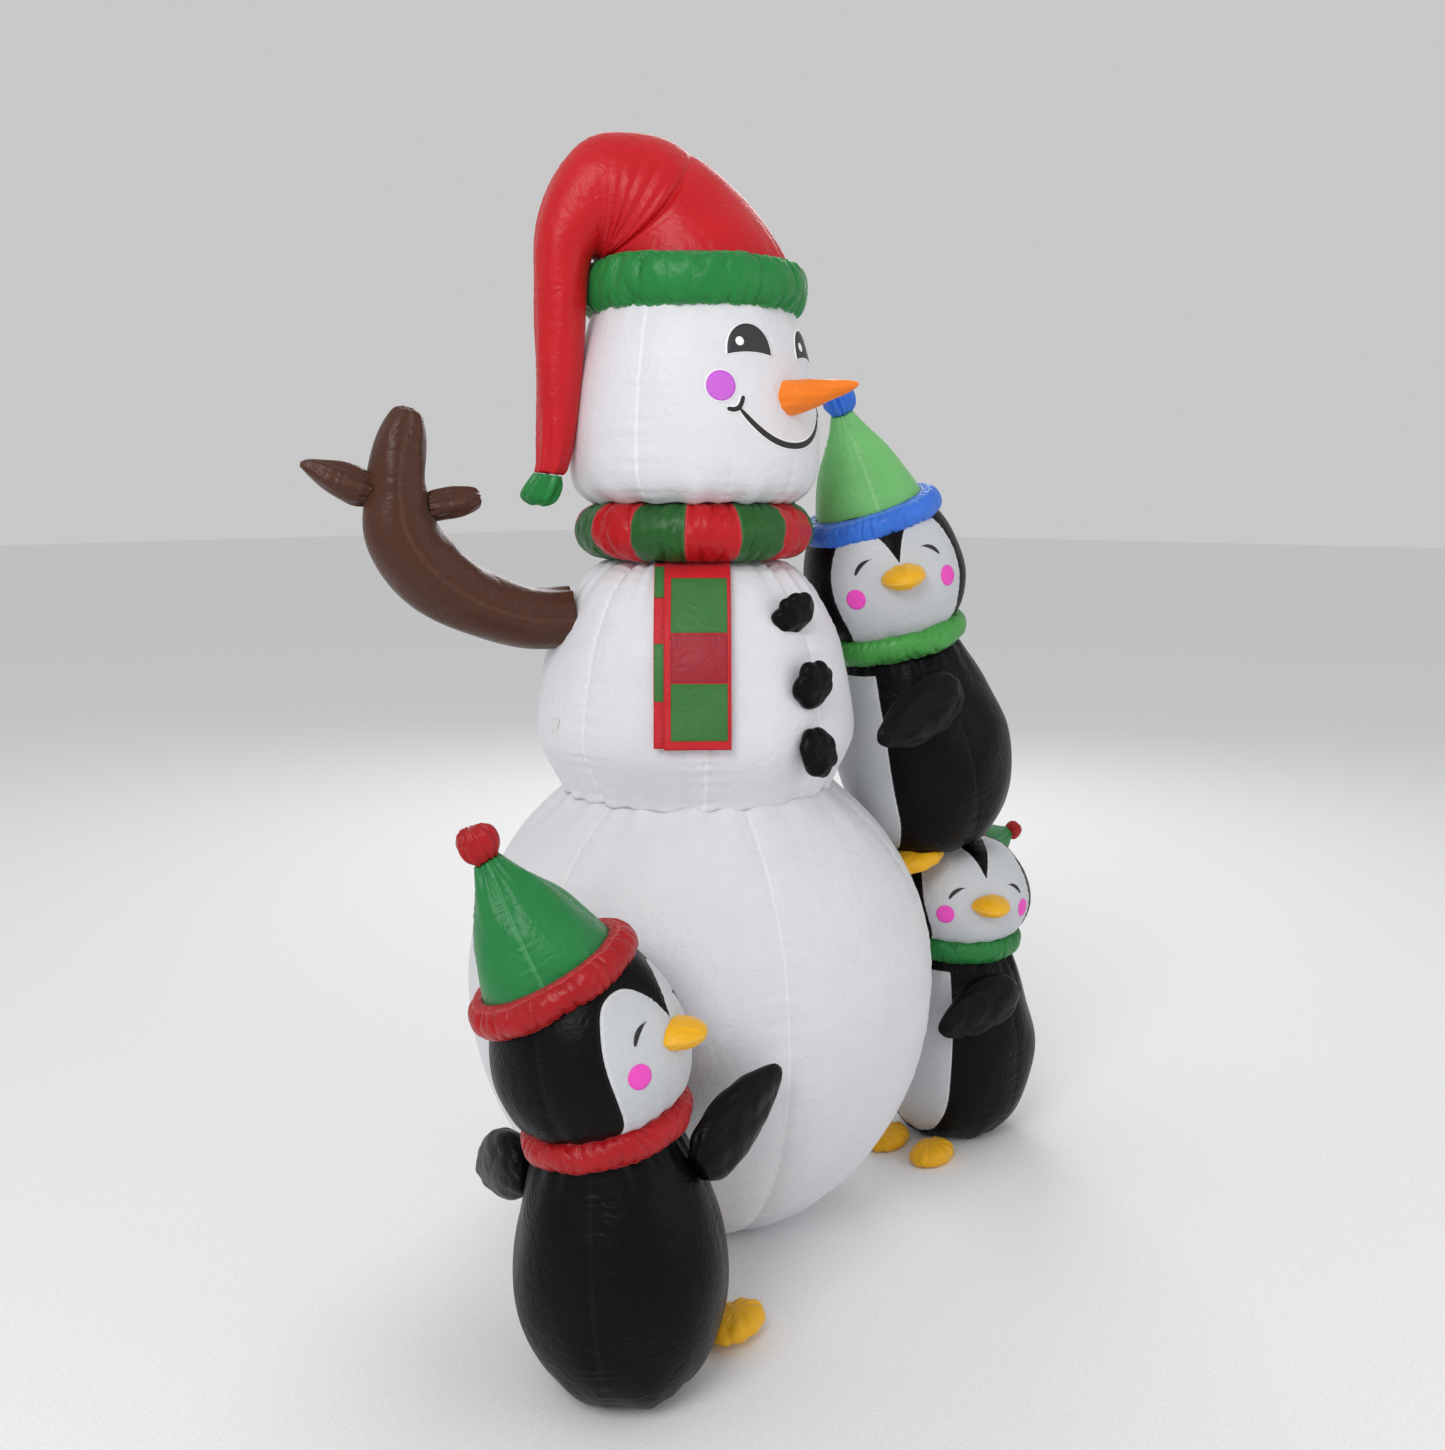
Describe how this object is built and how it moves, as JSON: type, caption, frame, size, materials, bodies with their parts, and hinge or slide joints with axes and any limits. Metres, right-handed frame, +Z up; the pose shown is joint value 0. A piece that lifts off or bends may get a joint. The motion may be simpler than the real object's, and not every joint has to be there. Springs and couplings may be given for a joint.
{
  "type": "inflatable yard snowman",
  "caption": "Tall blown-up fabric snowman with a drooping cap, scarf and stick arm, hugged by penguins, two of them stacked; a fan low in its back keeps it standing outdoors.",
  "frame": {"origin": "centre of the snowman's flat base on the ground", "axes": "+Z up, the snowman's face looks along -Y, its right side is towards -X; the stick arm and the hat's tail point to the back right, the blower is at +Y"},
  "size_m": [1.6803, 1.0011, 2.1906],
  "materials": {
    "white_nylon": "satin",
    "hat_red": "satin",
    "band_green": "satin",
    "scarf_red": "satin",
    "scarf_green": "satin",
    "tail_red": "satin",
    "tail_dark_red": "satin",
    "tail_green": "satin",
    "nose_orange": "satin",
    "arm_brown": "satin",
    "black_nylon": "satin",
    "webbing": "matte",
    "panel_grey": "satin",
    "beak_yellow": "satin",
    "hat_green": "satin",
    "trim_red": "satin",
    "collar_green": "satin",
    "hat_light_green": "satin",
    "trim_blue": "satin",
    "blower_black": "matte",
    "motor_steel": "satin",
    "impeller_white": "satin",
    "cable_white": "satin",
    "bulb_clear": "gloss",
    "zip_tape": "matte",
    "zip_metal": "satin",
    "eyelet_steel": "satin"
  },
  "bodies": {
    "snowman": {"lower_ball": "white_nylon", "middle_ball": "white_nylon", "head": "white_nylon", "hat": "hat_red", "hat_band": "band_green", "hat_tip": "band_green", "scarf_ring_red": "scarf_red", "scarf_ring_green": "scarf_green", "scarf_tail_front": "tail_red", "scarf_tail_back": "tail_dark_red", "scarf_patches": "tail_green", "nose": "nose_orange", "arm": "arm_brown", "twigs": "arm_brown", "buttons": "black_nylon", "tether_tabs": "webbing", "ground_straps": "webbing", "strap_eyelets": "eyelet_steel", "penguin1_body": "black_nylon", "penguin1_belly": "panel_grey", "penguin1_head": "black_nylon", "penguin1_face": "panel_grey", "penguin1_hat": "hat_green", "penguin1_hat_band": "trim_red", "penguin1_pompom": "trim_red", "penguin1_collar": "trim_red", "penguin1_beak": "beak_yellow", "penguin1_flippers": "black_nylon", "penguin1_feet": "beak_yellow", "penguin2_body": "black_nylon", "penguin2_belly": "panel_grey", "penguin2_head": "black_nylon", "penguin2_face": "panel_grey", "penguin2_hat": "hat_light_green", "penguin2_hat_band": "trim_blue", "penguin2_pompom": "trim_blue", "penguin2_collar": "collar_green", "penguin2_beak": "beak_yellow", "penguin2_flippers": "black_nylon", "penguin2_feet": "beak_yellow", "penguin3_body": "black_nylon", "penguin3_belly": "panel_grey", "penguin3_head": "black_nylon", "penguin3_face": "panel_grey", "penguin3_hat": "hat_green", "penguin3_hat_band": "trim_red", "penguin3_pompom": "trim_red", "penguin3_collar": "collar_green", "penguin3_beak": "beak_yellow", "penguin3_flippers": "black_nylon", "penguin3_feet": "beak_yellow", "blower_front": "blower_black", "blower_rear": "blower_black", "blower_motor": "motor_steel", "light_cable": "cable_white", "light_bulbs": "bulb_clear", "zipper_tape": "zip_tape"},
    "blower_fan": {"impeller": "impeller_white"},
    "zipper_slider": {"zipper_slider": "zip_metal"},
    "zipper_pull": {"zipper_pull": "zip_metal"}
  },
  "joints": [
    {"name": "fan_spin", "type": "hinge", "parent": "snowman", "child": "blower_fan", "pos_m": [0, 0.42201, 0.23], "axis": [0, 0.8872, -0.4615], "continuous": true},
    {"name": "zipper_run", "type": "hinge", "parent": "snowman", "child": "zipper_slider", "pos_m": [0, 0, 0.508], "axis": [1, 0, 0], "range_deg": [-24, 0]},
    {"name": "pull_flip", "type": "hinge", "parent": "zipper_slider", "child": "zipper_pull", "pos_m": [0, 0.42841, 0.76542], "axis": [1, 0, 0], "range_deg": [0, 150]}
  ]
}
